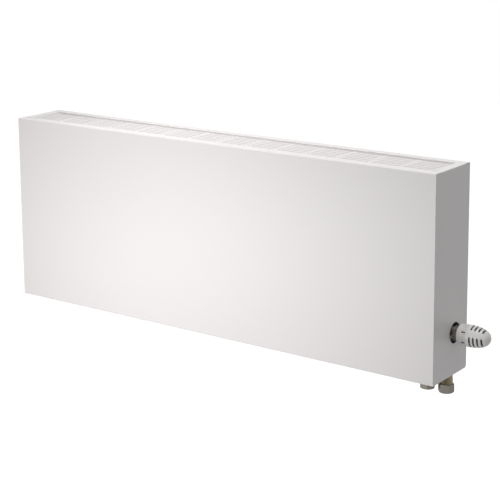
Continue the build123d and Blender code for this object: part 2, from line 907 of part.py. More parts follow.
def make_valve_insert():
    """Brass cartridge in the neck that guides the pin and holds the spring."""
    neck_end = valve_points()[4]
    low = neck_end - insert_length
    insert = rod("X", valve_chamber_radius - insert_clear, (low, neck_end), pipe_y, axis_z)
    pocket = (neck_end - spring_pocket_depth, neck_end + overrun)
    insert -= rod("X", spring_pocket_radius, pocket, pipe_y, axis_z)
    return insert - rod("X", pin_radius + pin_clear, (low - overrun, neck_end), pipe_y, axis_z)


def make_valve_pin():
    """Steel pin with the disc that carries the washer and the collar that the spring pushes on."""
    seat = valve_points()[2]
    disc = seat + washer_clear + washer_thickness
    tip = end + pin_tip
    pin = rod("X", pin_radius, (disc, tip), pipe_y, axis_z)
    pin += rod("X", disc_radius, (disc, disc + disc_thickness), pipe_y, axis_z)
    return pin + rod("X", pin_collar_radius, (tip - pin_collar, tip), pipe_y, axis_z)


def make_valve_washer():
    """Rubber washer that closes the seat."""
    low = valve_points()[2] + washer_clear
    return rod("X", washer_radius, (low, low + washer_thickness), pipe_y, axis_z)


def make_valve_spring():
    """Return spring round the pin."""
    low = valve_points()[4] - spring_pocket_depth + spring_wire
    high = end + pin_tip - pin_collar - spring_wire
    length = high - low
    path = Helix(length / spring_turns, length, spring_radius)
    section = Plane(path @ 0, z_dir=path % 0) * Circle(spring_wire)
    return Pos(low, pipe_y, axis_z) * Rot(Y=90) * sweep(section, path, is_frenet=True)


# Thermostatic head

def make_head_nut():
    """Knurled metal union nut that clamps the head on the valve's neck."""
    nut = turned_x(
        [
            (head_nut_start, neck_radius + thread_clear),
            (head_nut_start, head_nut_radius - head_nut_edge),
            (head_nut_start + head_nut_edge, head_nut_radius),
            (head_nut_end - head_nut_edge, head_nut_radius),
            (head_nut_end, head_nut_radius - head_nut_edge),
            (head_nut_end, head_nut_lip),
            (neck_reach + base_flange + thread_clear, head_nut_lip),
            (neck_reach + base_flange + thread_clear, neck_radius + thread_clear),
        ]
    )
    middle = (head_nut_start + head_nut_end) / 2
    flute_length = head_nut_end - head_nut_start - 2 * head_nut_flute_margin
    for i in range(head_nut_flutes):
        turn = Rot(X=360 * i / head_nut_flutes)
        flute = Box(flute_length, head_nut_flute, 2 * head_nut_flute)
        nut -= Pos(end + middle, pipe_y, axis_z) * turn * Pos(0, 0, head_nut_radius) * flute
    return nut


def limit_pin_box(angle, clear):
    """Place of a limit pin on the collar, at an angle up from the front."""
    size = limit_pin_width + 2 * clear
    bar = Box(limit_pin_length + 2 * clear, size, limit_pin_depth)
    at = end + limit_pin_start + limit_pin_length / 2
    radius = base_radius - limit_pin_depth / 2 + base_groove
    return Pos(at, pipe_y, axis_z) * Rot(X=90 - angle) * Pos(0, 0, radius) * bar


def make_head_base():
    """Fixed white collar with scale ribs; its neck is held by the union nut."""
    base = turned_x(
        [
            (neck_reach, base_bore),
            (neck_reach, base_flange_radius),
            (neck_reach + base_flange, base_flange_radius),
            (neck_reach + base_flange, base_neck_radius),
            (base_start, base_neck_radius),
            (base_start, base_radius_small - base_edge),
            (base_start + base_edge, base_radius_small),
            (base_taper_end - base_groove_width, base_radius),
            (base_taper_end - base_groove_width, base_radius - base_groove),
            (base_taper_end, base_radius - base_groove),
            (base_taper_end, base_radius),
            (base_end, base_radius),
            (base_end, base_inner_radius),
            (base_start + base_floor, base_inner_radius),
            (base_start + base_floor, base_bore),
        ]
    )
    for i in range(base_ribs):
        turn = Rot(X=360 * i / base_ribs)
        rib_length = base_end - base_rib_start
        groove = Box(rib_length, base_rib_groove_width, 2 * base_rib_groove)
        at = end + base_rib_start + rib_length / 2 + base_rib_groove
        base -= Pos(at, pipe_y, axis_z) * turn * Pos(0, 0, base_radius) * groove
    for angle in limit_pin_angles:
        base -= limit_pin_box(angle, thread_clear)
    return base


def make_limit_pins():
    """Two dark pins on the collar that limit the hand wheel's travel."""
    return [limit_pin_box(angle, 0) for angle in limit_pin_angles]


def nose_radius(along, tip, radius):
    """Radius of the hand wheel's blunt nose at a distance from the side panel."""
    share = (along - wheel_nose_start) / (tip - wheel_nose_start)
    return radius * (1 - share**wheel_nose_blunt_share) ** (1 / wheel_nose_blunt_share)


def nose_outline(start, tip, radius):
    """Half outline of the hand wheel: a blunt curve from its open end to its tip."""
    share = (start - wheel_nose_start) / (tip - wheel_nose_start)
    first_turn = asin(share ** (wheel_nose_blunt_share / 2))
    points = []
    for i in range(wheel_nose_points - 1):
        turn = first_turn + (pi / 2 - first_turn) * i / (wheel_nose_points - 1)
        along = wheel_nose_start + (tip - wheel_nose_start) * sin(turn) ** (2 / wheel_nose_blunt_share)
        points.append((along, nose_radius(along, tip, radius)))
    points.append((tip, 0))
    leaving = Vector(*points[1]) - Vector(*points[0])
    curve = Spline(*points, tangents=(leaving, (0, -1)))
    rest = Polyline((tip, 0), (start, 0), points[0])
    return Plane.XZ * make_face([curve, *rest.edges()])


def make_handwheel():
    """Turning hand wheel: domed shell with groups of cooling slots, a web and a guiding skirt."""
    start = base_end + wheel_gap
    web_end = start + wheel_web
    bore = capsule_radius + capsule_clear
    skirt = base_inner_radius - skirt_clear
    outer = revolve(nose_outline(start, wheel_tip, wheel_radius), Axis.X)
    inner = revolve(nose_outline(web_end, wheel_tip - wheel_wall, wheel_radius - wheel_wall), Axis.X)
    wheel = Pos(end, pipe_y, axis_z) * (outer - inner)
    wheel += rod("X", skirt, (end + skirt_start, end + web_end), pipe_y, axis_z)
    wheel -= rod("X", skirt - skirt_wall, (end + skirt_start - overrun, end + start), pipe_y, axis_z)
    wheel -= rod("X", bore, (end + skirt_start, end + web_end + overrun), pipe_y, axis_z)
    for group in range(kerf_groups):
        angle = kerf_first_angle + 360 * group / kerf_groups
        for i in range(kerf_count):
            along = kerf_first + i * kerf_pitch
            depth = nose_radius(along, wheel_tip, wheel_radius) * cos(radians(kerf_half_angle))
            kerf = Box(kerf_width, 2 * wheel_radius, wheel_radius)
            turned = Rot(X=90 - angle) * Pos(0, 0, depth + wheel_radius / 2) * kerf
            wheel -= Pos(end + along, pipe_y, axis_z) * turned
    return wheel


def make_sensor_capsule():
    """Sensor capsule that rides in the hand wheel; its rod, in the bellows room, pushes the valve's pin."""
    capsule = rod("X", capsule_radius, (end + capsule_start, end + capsule_end), pipe_y, axis_z)
    capsule = chamfer(capsule.edges().filter_by(GeomType.CIRCLE).group_by(Axis.X)[-1], capsule_chamfer)
    inner_end = end + capsule_end - capsule_wall
    room = rod("X", capsule_radius - capsule_wall, (end + capsule_start - overrun, inner_end), pipe_y, axis_z)
    capsule -= chamfer(room.edges().filter_by(GeomType.CIRCLE).group_by(Axis.X)[-1], capsule_chamfer)
    return capsule + rod("X", capsule_rod_radius, (end + pin_tip + rod_clear, inner_end), pipe_y, axis_z)


# Every piece under its own name
pieces = {
    "front_panel": make_front_panel(),
    "right_side_panel": make_right_side_panel(True),
    "left_side_panel": mirror(make_right_side_panel(False), Plane.YZ),
    "rear_rail": make_rear_rail(),
    "front_stiffeners": make_stiffeners(),
    "cross_stays": make_cross_stays(),
    "outlet_grille": make_outlet_grille(),
    "casing_hangers": make_casing_hangers(),
    "casing_screws": make_casing_screws(),
    "left_wall_bracket": Pos(-bracket_x) * make_wall_bracket(),
    "right_wall_bracket": Pos(bracket_x) * make_wall_bracket(),
    "exchanger_pads": make_exchanger_pads(),
    "holding_straps": make_holding_straps(),
    "strap_screws": make_strap_screws(),
    "copper_tubes": make_copper_tubes(),
    "fins": make_fins(),
    "left_end_plate": make_end_plate(left_plate_x, -1),
    "right_end_plate": make_end_plate(right_plate_x, 1),
    "supply_collector": make_supply_collector(),
    "return_collector": make_return_collector(),
    "turning_collector": make_turning_collector(),
    "air_vent_body": make_air_vent_body(),
    "air_vent_screw": make_air_vent_screw(),
    "drain_plug": make_drain_plug(),
    "drain_seal": make_drain_seal(),
    "supply_nut": make_union_nut(supply_x, supply_nut_turn),
    "return_nut": make_union_nut(return_x, return_nut_turn),
    "supply_cone": make_pipe_cone(supply_x),
    "return_cone": make_pipe_cone(return_x),
    "supply_riser": make_supply_riser(),
    "return_stub": make_return_stub(),
    "lockshield_body": make_lockshield_body(),
    "lockshield_spindle": make_lockshield_spindle(),
    "lockshield_cap": make_lockshield_cap(),
    "valve_body": make_valve_body(),
    "valve_gasket": make_valve_gasket(),
    "valve_tail_nut": make_tail_nut(),
    "valve_insert": make_valve_insert(),
    "valve_pin": make_valve_pin(),
    "valve_washer": make_valve_washer(),
    "valve_spring": make_valve_spring(),
    "head_union_nut": make_head_nut(),
    "head_collar": make_head_base(),
    "limit_pins": make_limit_pins(),
    "handwheel": make_handwheel(),
    "sensor_capsule": make_sensor_capsule(),
}

for name, shape in pieces.items():
    solids = Compound(children=list(shape)) if isinstance(shape, list) else shape
    export_step(solids, os.path.join("parts", name + ".step"))
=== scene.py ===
# %% [markdown]
# This lesson dresses a wall convector: a low, long radiator in a casing of white sheet steel. The
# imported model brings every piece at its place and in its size, so it is loaded first. What is made
# here is the light, the finishes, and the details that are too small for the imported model.

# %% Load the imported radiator
import json
import math

import bmesh
import bpy
from mathutils import Matrix, Vector
from mathutils.bvhtree import BVHTree


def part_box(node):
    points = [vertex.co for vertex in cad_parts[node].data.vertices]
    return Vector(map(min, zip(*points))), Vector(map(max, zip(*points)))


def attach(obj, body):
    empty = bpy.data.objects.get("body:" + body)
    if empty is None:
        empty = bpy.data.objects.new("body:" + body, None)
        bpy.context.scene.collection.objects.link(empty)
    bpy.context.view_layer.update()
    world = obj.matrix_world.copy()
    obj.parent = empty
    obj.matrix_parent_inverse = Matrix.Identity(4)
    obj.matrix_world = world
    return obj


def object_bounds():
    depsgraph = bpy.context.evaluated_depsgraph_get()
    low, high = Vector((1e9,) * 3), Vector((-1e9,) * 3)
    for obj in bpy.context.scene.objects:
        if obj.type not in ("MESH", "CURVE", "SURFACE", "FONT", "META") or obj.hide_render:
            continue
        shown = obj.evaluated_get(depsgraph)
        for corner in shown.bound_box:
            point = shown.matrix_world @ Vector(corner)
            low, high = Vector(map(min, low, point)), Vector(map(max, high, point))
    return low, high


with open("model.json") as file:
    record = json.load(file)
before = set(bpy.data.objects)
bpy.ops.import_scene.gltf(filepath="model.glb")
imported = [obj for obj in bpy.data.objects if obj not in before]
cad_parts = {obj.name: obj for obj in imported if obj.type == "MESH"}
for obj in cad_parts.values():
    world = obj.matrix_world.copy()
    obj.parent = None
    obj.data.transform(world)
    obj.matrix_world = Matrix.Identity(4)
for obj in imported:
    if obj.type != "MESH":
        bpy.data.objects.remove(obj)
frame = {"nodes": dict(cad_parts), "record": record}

cad_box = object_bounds()
slot_of = {piece["node"]: piece["material_slot"] for piece in frame["record"]["subparts"]}
mm = 0.001
merge_distance = 0.001 * mm
print("nodes", len(frame["nodes"]), "box", cad_box)

# %% [markdown]
# The camera stands where the photographer stood: to the right of the radiator, a little above it,
# with a long lens. One way is to turn the camera towards an empty; here its place and its three
# turns are typed, because they were found by fitting the casing's corners in the photograph.
# The lens is shifted downwards, which keeps the upright edges nearly parallel.

# %% Camera
camera_place = Vector((2.1821, -2.984, 0.947))
camera_yaw, camera_tilt, camera_roll = (math.radians(angle) for angle in (35.942, 10.556, -0.431))

camera_data = bpy.data.cameras.new("photo_camera")
camera_data.sensor_width = 36
camera_data.lens = 104.92
camera_data.shift_y = -0.24
camera_data.clip_start = 0.05
camera_data.clip_end = 50
camera = bpy.data.objects.new("photo_camera", camera_data)
bpy.context.scene.collection.objects.link(camera)
bpy.context.scene.camera = camera
upright = Matrix.Rotation(math.pi / 2 - camera_tilt, 4, "X")
turned = Matrix.Rotation(camera_yaw, 4, "Z") @ upright @ Matrix.Rotation(camera_roll, 4, "Z")
camera.matrix_world = Matrix.Translation(camera_place) @ turned
bpy.context.scene.view_settings.view_transform = "Standard"
print("camera at", tuple(camera_place))

# %% [markdown]
# Soft light makes white sheet metal readable. A wide lamp in front of the middle gives the front
# its slow fall-off towards both ends. One above, a little in front, lights the rim and reaches
# into the grille's slots. A small third one hangs above the right end: it grazes the right side,
# which stays grey as in the photograph, and lights the head that stands out from it. All lamps
# are hidden from the camera.

# %% Lamps
def add_soft_lamp(name, place, aim, width, height, power):
    """A rectangular lamp at place, turned to aim."""
    lamp_data = bpy.data.lights.new(name, "AREA")
    lamp_data.shape = "RECTANGLE"
    lamp_data.size = width
    lamp_data.size_y = height
    lamp_data.energy = power
    lamp = bpy.data.objects.new(name, lamp_data)
    lamp.location = place
    lamp.rotation_euler = (Vector(aim) - Vector(place)).to_track_quat("-Z", "Y").to_euler()
    lamp.visible_camera = False
    bpy.context.scene.collection.objects.link(lamp)
    print("lamp", name, power, "W")


add_soft_lamp("front_lamp", place=(-0.17, -0.97, -0.15), aim=(0, -0.1, 0),
              width=1.3, height=0.5, power=6.4)
add_soft_lamp("top_lamp", place=(-0.3, -0.24, 0.93), aim=(0, -0.1, 0.1),
              width=0.5, height=0.3, power=3.5)
add_soft_lamp("end_lamp", place=(0.69, -0.21, 1.57), aim=(0.69, -0.08, -0.14),
              width=0.2, height=0.2, power=7.8)

# %% [markdown]
# The room is white to the camera, to mirrors and to glass, but dim for everything else. Light Path
# tells the shader what kind of ray asks, so the picture gets a pure white background without any
# more light on the radiator. Maths nodes come from a small helper, here and in the finishes.

# %% Room
room_light = 0.342

world = bpy.data.worlds.new("pale_room")
bpy.context.scene.world = world
world.use_nodes = True


def add_math(tree, operation, *values, clamp=False):
    """One maths node; each value is a socket or a number."""
    node = tree.nodes.new("ShaderNodeMath")
    node.operation = operation
    node.use_clamp = clamp
    for socket, value in zip(node.inputs, values):
        if isinstance(value, (int, float)):
            socket.default_value = value
        else:
            tree.links.new(value, socket)
    return node.outputs[0]


def seen_ray(tree):
    """A value that is 1 for camera, glossy and transmission rays, and 0 for all others."""
    path = tree.nodes.new("ShaderNodeLightPath")
    either = add_math(tree, "MAXIMUM", path.outputs["Is Camera Ray"], path.outputs["Is Glossy Ray"])
    return add_math(tree, "MAXIMUM", either, path.outputs["Is Transmission Ray"])


background = world.node_tree.nodes["Background"]
background.inputs["Color"].default_value = (1, 1, 1, 1)
brightness = world.node_tree.nodes.new("ShaderNodeMapRange")
brightness.inputs["To Min"].default_value = room_light
world.node_tree.links.new(seen_ray(world.node_tree), brightness.inputs["Value"])
world.node_tree.links.new(brightness.outputs["Result"], background.inputs["Strength"])
print("room light", room_light)

# %% [markdown]
# The radiator hangs on a wall, so the floor is a good way below it. A grid is enough. Its own
# colour takes the shadow, and a glow that only seen rays meet lifts it to white. From below it is
# clear, so that the radiator's underside can be looked at.

# %% Floor
floor_drop = 0.45
floor_reach = 6
floor_grey = 0.5
floor_rough = 0.9
floor_glow = 0.85
floor_z = cad_box[0][2] - floor_drop

floor_mesh = bmesh.new()
bmesh.ops.create_grid(floor_mesh, x_segments=1, y_segments=1, size=floor_reach)
bmesh.ops.translate(floor_mesh, verts=floor_mesh.verts, vec=(0, 0, floor_z))
floor_data = bpy.data.meshes.new("floor")
floor_mesh.to_mesh(floor_data)
floor_mesh.free()
floor = bpy.data.objects.new("floor", floor_data)
bpy.context.scene.collection.objects.link(floor)
floor_paint = bpy.data.materials.new("floor_paint")
floor_paint.use_nodes = True
floor_shader = floor_paint.node_tree.nodes["Principled BSDF"]
floor_shader.inputs["Base Color"].default_value = (floor_grey, floor_grey, floor_grey, 1)
floor_shader.inputs["Roughness"].default_value = floor_rough
floor_shader.inputs["Emission Color"].default_value = (1, 1, 1, 1)
floor_tree = floor_paint.node_tree
floor_lift = add_math(floor_tree, "MULTIPLY", seen_ray(floor_tree), floor_glow)
floor_tree.links.new(floor_lift, floor_shader.inputs["Emission Strength"])
floor_side = floor_tree.nodes.new("ShaderNodeNewGeometry")
floor_solid = add_math(floor_tree, "SUBTRACT", 1, floor_side.outputs["Backfacing"])
floor_tree.links.new(floor_solid, floor_shader.inputs["Alpha"])
floor_data.materials.append(floor_paint)
print("floor at", floor_z)

# %% [markdown]
# Many finishes share the same small effects: a tone that drifts, a fine grain, worn edges and dust.
# Each effect could be copied into every material, but a node group is built once and given other
# values wherever it is used. This helper makes an empty group with its named inputs and outputs.

# %% Group helper
def new_group(name, inputs, outputs):
    """An empty shader group; inputs are (label, kind, value), outputs are (label, kind)."""
    group = bpy.data.node_groups.new(name, "ShaderNodeTree")
    for label, kind, value in inputs:
        socket = group.interface.new_socket(label, in_out="INPUT", socket_type="NodeSocket" + kind)
        socket.default_value = value
    for label, kind in outputs:
        group.interface.new_socket(label, in_out="OUTPUT", socket_type="NodeSocket" + kind)
    return group, group.nodes.new("NodeGroupInput"), group.nodes.new("NodeGroupOutput")


def add_noise(group, vector, scale, detail):
    """A noise texture on vector; scale is a socket or a number."""
    noise = group.nodes.new("ShaderNodeTexNoise")
    noise.inputs["Detail"].default_value = detail
    group.links.new(vector, noise.inputs["Vector"])
    if isinstance(scale, (int, float)):
        noise.inputs["Scale"].default_value = scale
    else:
        group.links.new(scale, noise.inputs["Scale"])
    return noise.outputs["Fac"]


print("group helper ready")

# %% [markdown]
# No sprayed or plated surface has one even tone. The drift group takes a slow noise round one half
# and turns it into a colour a few per cent lighter or darker, and into a roughness that wanders
# with it. Object coordinates keep the pattern fixed to the piece when it moves.

# %% Group: tone drift
tone_drift, drift_in, drift_out = new_group(
    "tone_drift",
    [("Colour", "Color", (0.8, 0.8, 0.8, 1)), ("Scale", "Float", 4), ("Amount", "Float", 0.04),
     ("Rough", "Float", 0.4), ("Spread", "Float", 0.05)],
    [("Colour", "Color"), ("Rough", "Float")],
)
drift_place = tone_drift.nodes.new("ShaderNodeTexCoord").outputs["Object"]
drift_noise = add_noise(tone_drift, drift_place, drift_in.outputs["Scale"], detail=3)
drift_wander = add_math(tone_drift, "SUBTRACT", drift_noise, 0.5)
drift_shift = add_math(tone_drift, "MULTIPLY", drift_wander, drift_in.outputs["Amount"])
drift_gain = add_math(tone_drift, "MULTIPLY_ADD", drift_shift, 2, 1)
drift_tint = tone_drift.nodes.new("ShaderNodeVectorMath")
drift_tint.operation = "SCALE"
tone_drift.links.new(drift_in.outputs["Colour"], drift_tint.inputs[0])
tone_drift.links.new(drift_gain, drift_tint.inputs["Scale"])
tone_drift.links.new(drift_tint.outputs[0], drift_out.inputs["Colour"])
drift_rough = add_math(tone_drift, "MULTIPLY", drift_wander, drift_in.outputs["Spread"])
drift_rough = add_math(tone_drift, "ADD", drift_rough, drift_in.outputs["Rough"])
tone_drift.links.new(drift_rough, drift_out.inputs["Rough"])
print("group", tone_drift.name)

# %% [markdown]
# Grain is what a fingertip feels: the orange peel of powder paint, the lines that a lathe leaves,
# the brushed length of a sheet. One noise does them all, when its coordinates are stretched first:
# a large value across the lines and a small one along them.

# %% Group: fine grain
fine_grain, grain_in, grain_out = new_group(
    "fine_grain",
    [("Scale", "Float", 500), ("Stretch", "Vector", (1, 1, 1))],
    [("Height", "Float")],
)
grain_place = fine_grain.nodes.new("ShaderNodeVectorMath")
grain_place.operation = "MULTIPLY"
grain_source = fine_grain.nodes.new("ShaderNodeTexCoord").outputs["Object"]
fine_grain.links.new(grain_source, grain_place.inputs[0])
fine_grain.links.new(grain_in.outputs["Stretch"], grain_place.inputs[1])
grain_noise = add_noise(fine_grain, grain_place.outputs[0], grain_in.outputs["Scale"], detail=4)
fine_grain.links.new(grain_noise, grain_out.inputs["Height"])
print("group", fine_grain.name)

# %% [markdown]
# Plating wears off first where fingers and spanners meet it, on the corners. The Bevel node gives
# the normal that a rounded edge would have; where it differs from the real one there is an edge.
# A noise breaks the line up, because wear is never even.

# %% Group: worn edges
worn_edges, worn_in, worn_out = new_group(
    "worn_edges",
    [("Radius", "Float", 1 * mm), ("Gain", "Float", 4)],
    [("Mask", "Float")],
)
worn_bevel = worn_edges.nodes.new("ShaderNodeBevel")
worn_bevel.samples = 4
worn_edges.links.new(worn_in.outputs["Radius"], worn_bevel.inputs["Radius"])
worn_dot = worn_edges.nodes.new("ShaderNodeVectorMath")
worn_dot.operation = "DOT_PRODUCT"
worn_edges.links.new(worn_bevel.outputs["Normal"], worn_dot.inputs[0])
worn_face = worn_edges.nodes.new("ShaderNodeNewGeometry")
worn_edges.links.new(worn_face.outputs["True Normal"], worn_dot.inputs[1])
worn_bend = add_math(worn_edges, "SUBTRACT", 1, worn_dot.outputs["Value"])
worn_bend = add_math(worn_edges, "MULTIPLY", worn_bend, worn_in.outputs["Gain"])
worn_place = worn_edges.nodes.new("ShaderNodeTexCoord").outputs["Object"]
worn_noise = add_noise(worn_edges, worn_place, scale=300, detail=3)
worn_mask = add_math(worn_edges, "MULTIPLY", worn_bend, worn_noise, clamp=True)
worn_edges.links.new(worn_mask, worn_out.inputs["Mask"])
print("group", worn_edges.name)

# %% [markdown]
# Warm air carries dust into a convector, and it settles on whatever faces upwards. The group reads
# the upward part of the normal and breaks it up with a noise.

# %% Group: settled dust
settled_dust, dust_in, dust_out = new_group(
    "settled_dust",
    [("Amount", "Float", 0.3)],
    [("Mask", "Float")],
)
dust_normal = settled_dust.nodes.new("ShaderNodeSeparateXYZ")
dust_face = settled_dust.nodes.new("ShaderNodeNewGeometry")
settled_dust.links.new(dust_face.outputs["Normal"], dust_normal.inputs[0])
dust_up = add_math(settled_dust, "MAXIMUM", dust_normal.outputs["Z"], 0)
dust_place = settled_dust.nodes.new("ShaderNodeTexCoord").outputs["Object"]
dust_noise = add_noise(settled_dust, dust_place, scale=60, detail=5)
dust_mask = add_math(settled_dust, "MULTIPLY", dust_up, dust_noise)
dust_mask = add_math(settled_dust, "MULTIPLY", dust_mask, dust_in.outputs["Amount"], clamp=True)
settled_dust.links.new(dust_mask, dust_out.inputs["Mask"])
print("group", settled_dust.name)

# %% [markdown]
# The casing's inward faces are painted a near-black shade, so nothing bright shows through the
# round hole. Painting faces one by one would do, but a mask is shorter: a face looks inwards where
# its normal points back to the casing's middle. Near the top the inward faces stay white, so the
# rim, the grille and the shaft below it get no painted shade.

# %% Group: inner side
# This mask marks the inward faces that get the painted shade.
inner_side, inner_in, inner_out = new_group(
    "inner_side",
    [("Middle", "Vector", (0, 0, 0)), ("Top", "Float", 0.2)],
    [("Mask", "Float")],
)
inner_place = inner_side.nodes.new("ShaderNodeTexCoord").outputs["Object"]
inner_height = inner_side.nodes.new("ShaderNodeSeparateXYZ")
inner_side.links.new(inner_place, inner_height.inputs[0])
inner_offset = inner_side.nodes.new("ShaderNodeVectorMath")
inner_offset.operation = "SUBTRACT"
inner_side.links.new(inner_place, inner_offset.inputs[0])
inner_side.links.new(inner_in.outputs["Middle"], inner_offset.inputs[1])
inner_dot = inner_side.nodes.new("ShaderNodeVectorMath")
inner_dot.operation = "DOT_PRODUCT"
inner_side.links.new(inner_offset.outputs[0], inner_dot.inputs[0])
inner_face = inner_side.nodes.new("ShaderNodeNewGeometry")
inner_side.links.new(inner_face.outputs["True Normal"], inner_dot.inputs[1])
inner_faces = add_math(inner_side, "LESS_THAN", inner_dot.outputs["Value"], 0)
inner_below = add_math(inner_side, "LESS_THAN", inner_height.outputs["Z"], inner_in.outputs["Top"])
inner_side.links.new(add_math(inner_side, "MULTIPLY", inner_faces, inner_below), inner_out.inputs["Mask"])
print("group", inner_side.name)

# %% [markdown]
# Every finish starts alike: one Principled shader, a drifting tone and a grain that goes through a
# Bump node. The helper returns the parts of the material, so that a finish can add to them.

# %% Finish helper
def join(material, source, target):
    """Links two sockets of a material."""
    material.node_tree.links.new(source, target)


def add_group(material, group, **values):
    """Places a node group in a material and gives its inputs their values."""
    node = material.node_tree.nodes.new("ShaderNodeGroup")
    node.node_tree = group
    for label, value in values.items():
        node.inputs[label].default_value = value
    return node


def start_finish(name, colour, rough, metallic, drift, grain, stretch=(1, 1, 1)):
    """A material with a drifting tone (scale, amount, spread) and a grain (scale, depth)."""
    material = bpy.data.materials.new(name)
    material.use_nodes = True
    shader = material.node_tree.nodes["Principled BSDF"]
    shader.inputs["Metallic"].default_value = metallic
    drift_scale, drift_amount, drift_spread = drift
    grain_scale, grain_depth = grain
    tone = add_group(material, tone_drift, Colour=(*colour, 1), Scale=drift_scale, Amount=drift_amount,
                     Rough=rough, Spread=drift_spread)
    join(material, tone.outputs["Colour"], shader.inputs["Base Color"])
    join(material, tone.outputs["Rough"], shader.inputs["Roughness"])
    relief = add_group(material, fine_grain, Scale=grain_scale, Stretch=stretch)
    bump = material.node_tree.nodes.new("ShaderNodeBump")
    bump.inputs["Distance"].default_value = grain_depth
    join(material, relief.outputs["Height"], bump.inputs["Height"])
    join(material, bump.outputs["Normal"], shader.inputs["Normal"])
    return {"material": material, "shader": shader, "colour": tone.outputs["Colour"],
            "height": relief.outputs["Height"]}


def lay_colour(finish, mask, colour):
    """Lays another colour over the finish where mask is high."""
    mix = finish["material"].node_tree.nodes.new("ShaderNodeMix")
    mix.data_type = "RGBA"
    join(finish["material"], mask, mix.inputs["Factor"])
    join(finish["material"], finish["colour"], mix.inputs["A"])
    mix.inputs["B"].default_value = (*colour, 1)
    finish["colour"] = mix.outputs["Result"]
    join(finish["material"], finish["colour"], finish["shader"].inputs["Base Color"])


def wear_edges(finish, colour, radius, gain):
    """Shows another colour along the worn edges."""
    worn = add_group(finish["material"], worn_edges, Radius=radius, Gain=gain)
    lay_colour(finish, worn.outputs["Mask"], colour)


dust_grey = (0.34, 0.33, 0.31)


def lay_dust(finish, amount):
    """Grey dust on what faces upwards."""
    dust = add_group(finish["material"], settled_dust, Amount=amount)
    lay_colour(finish, dust.outputs["Mask"], dust_grey)


finishes = {}
print("finish helper ready")

# %% [markdown]
# The casing is powder coated: a satin, very slightly warm white with a fine orange peel. Its tone
# hardly moves, only a per cent or two, and dust lies thinly on the rim and the grille. The painted
# shade on the inward faces begins some way below the grille.

# %% White powder coat
white_depth = 130 * mm
# Near-black colour painted on the casing's inward faces as shade.
painted_shade_grey = (0.055, 0.055, 0.053)
casing_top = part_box("front_panel")[1][2]
casing_middle = (0, (cad_box[0][1] + cad_box[1][1]) / 2, 0)
white_paint = start_finish("white_powder_coat_and_painted_shade", colour=(0.835, 0.803, 0.802), rough=0.42, metallic=0,
                           drift=(2.2, 0.02, 0.08), grain=(650, 0.03 * mm))
lay_dust(white_paint, amount=0.04)
# Inward faces below the white depth get the near-black painted shade.
inside = add_group(white_paint["material"], inner_side, Top=casing_top - white_depth, Middle=casing_middle)
lay_colour(white_paint, inside.outputs["Mask"], painted_shade_grey)
finishes["white_paint"] = white_paint["material"]
print("finish", white_paint["material"].name)

# %% [markdown]
# The head and its collar are moulded from white plastic. It is a little smoother than the paint,
# and the mould has a fine spark-eroded texture.

# %% White moulded plastic
white_plastic = start_finish("white_moulded_plastic", colour=(0.88, 0.868, 0.855), rough=0.36, metallic=0,
                             drift=(30, 0.03, 0.08), grain=(1800, 0.02 * mm))
finishes["white_plastic"] = white_plastic["material"]
print("finish", white_plastic["material"].name)

# %% [markdown]
# The travel pins are black nylon, glossier where they have been pushed in.

# %% Dark moulded plastic
dark_plastic = start_finish("dark_moulded_plastic", colour=(0.025, 0.025, 0.028), rough=0.42, metallic=0,
                            drift=(200, 0.2, 0.2), grain=(2500, 0.02 * mm))
finishes["dark_plastic"] = dark_plastic["material"]
print("finish", dark_plastic["material"].name)

# %% [markdown]
# Nuts and valve bodies are brass under dull nickel. The plating is warm grey, turned surfaces keep
# fine rings, and brass looks through on the corners where a spanner has held.

# %% Dull nickel plate
nickel = start_finish("dull_nickel_plate", colour=(0.172, 0.158, 0.142), rough=0.46, metallic=1,
                      drift=(45, 0.3, 0.22), grain=(420, 0.06 * mm), stretch=(1, 1, 6))
wear_edges(nickel, colour=(0.42, 0.37, 0.29), radius=1.2 * mm, gain=4)
finishes["nickel_plate"] = nickel["material"]
print("finish", nickel["material"].name)

# %% [markdown]
# Bare brass on the stubs, the riser and the collectors has browned a little in the warm air. The
# drift is strong and the machining lines are close.

# %% Aged brass
brass = start_finish("aged_brass", colour=(0.19, 0.16, 0.108), rough=0.42, metallic=1,
                     drift=(38, 0.35, 0.25), grain=(500, 0.08 * mm), stretch=(1, 1, 5))
wear_edges(brass, colour=(0.55, 0.45, 0.27), radius=0.8 * mm, gain=4)
lay_dust(brass, amount=0.35)
finishes["brass"] = brass["material"]
print("finish", brass["material"].name)

# %% [markdown]
# Copper tube is drawn, so its lines run along it, and it has dulled to a brownish pink.

# %% Drawn copper
copper = start_finish("drawn_copper", colour=(0.62, 0.30, 0.19), rough=0.35, metallic=1,
                      drift=(22, 0.35, 0.25), grain=(380, 0.04 * mm), stretch=(0.04, 1, 1))
lay_dust(copper, amount=0.4)
finishes["copper"] = copper["material"]
print("finish", copper["material"].name)

# %% [markdown]
# Fins are stamped from bright mill-finish aluminium with its rolling lines upright.

# %% Mill finish aluminium
aluminium = start_finish("mill_finish_aluminium", colour=(0.70, 0.71, 0.72), rough=0.38, metallic=1,
                         drift=(14, 0.12, 0.16), grain=(300, 0.04 * mm), stretch=(1, 1, 0.05))
lay_dust(aluminium, amount=0.5)
finishes["fin_aluminium"] = aluminium["material"]
print("finish", aluminium["material"].name)

# %% [markdown]
# The sensor is a thin drawn can of aluminium. Its near-black colour is painted shade, so that it
# doesn't show through the hand wheel's slots. The rings of the drawing tool still run round it.

# %% Sensor can, near-black as painted shade
# The near-black colour is painted shade inside the hand wheel's slots.
sensor_metal = start_finish("sensor_can_painted_shade", colour=(0.05, 0.05, 0.048), rough=0.55, metallic=0.6,
                            drift=(60, 0.2, 0.15), grain=(600, 0.04 * mm), stretch=(8, 1, 1))
finishes["sensor_metal"] = sensor_metal["material"]
print("finish", sensor_metal["material"].name)

# %% [markdown]
# Hot-dip galvanising freezes in patches, each with its own grey. Voronoi cells are made for that:
# every cell has one random value, which is mixed in as a lighter or a darker zinc.

